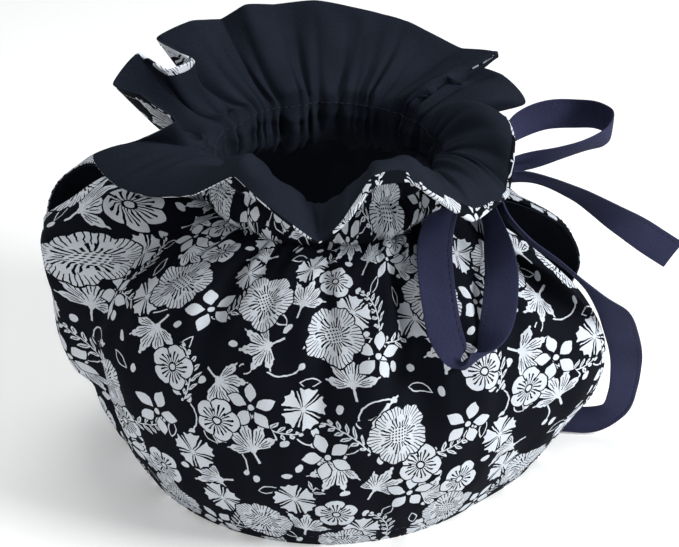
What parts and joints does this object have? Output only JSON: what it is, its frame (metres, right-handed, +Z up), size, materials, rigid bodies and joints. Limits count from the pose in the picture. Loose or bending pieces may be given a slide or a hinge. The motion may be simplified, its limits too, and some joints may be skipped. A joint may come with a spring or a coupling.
{
  "type": "tea cosy",
  "caption": "Gathered cotton tea cosy with a drawstring neck, standing frill, spout hole, open handle slit and a tape bow, navy floral print with plain navy lining.",
  "frame": {"origin": "centre of the whole outline on the surface the hem stands on; the neck's axis is 18.4 mm towards -X from it", "axes": "+Z up the neck's axis; +X towards the handle slit and the bow, -X towards the spout hole; +Y towards the back of the cosy"},
  "size_m": [0.2871, 0.2077, 0.1861],
  "materials": {
    "print_cloth": "printed cotton, matt",
    "lining_cloth": "plain cotton, matt",
    "tie": "woven cotton tape, matt"
  },
  "bodies": {
    "root": {"print_cloth": "print_cloth", "lining_cloth": "lining_cloth", "tie_knot": "tie", "loop_back": "tie", "loop_front": "tie", "tail_back": "tie", "tail_front": "tie"}
  },
  "joints": []
}
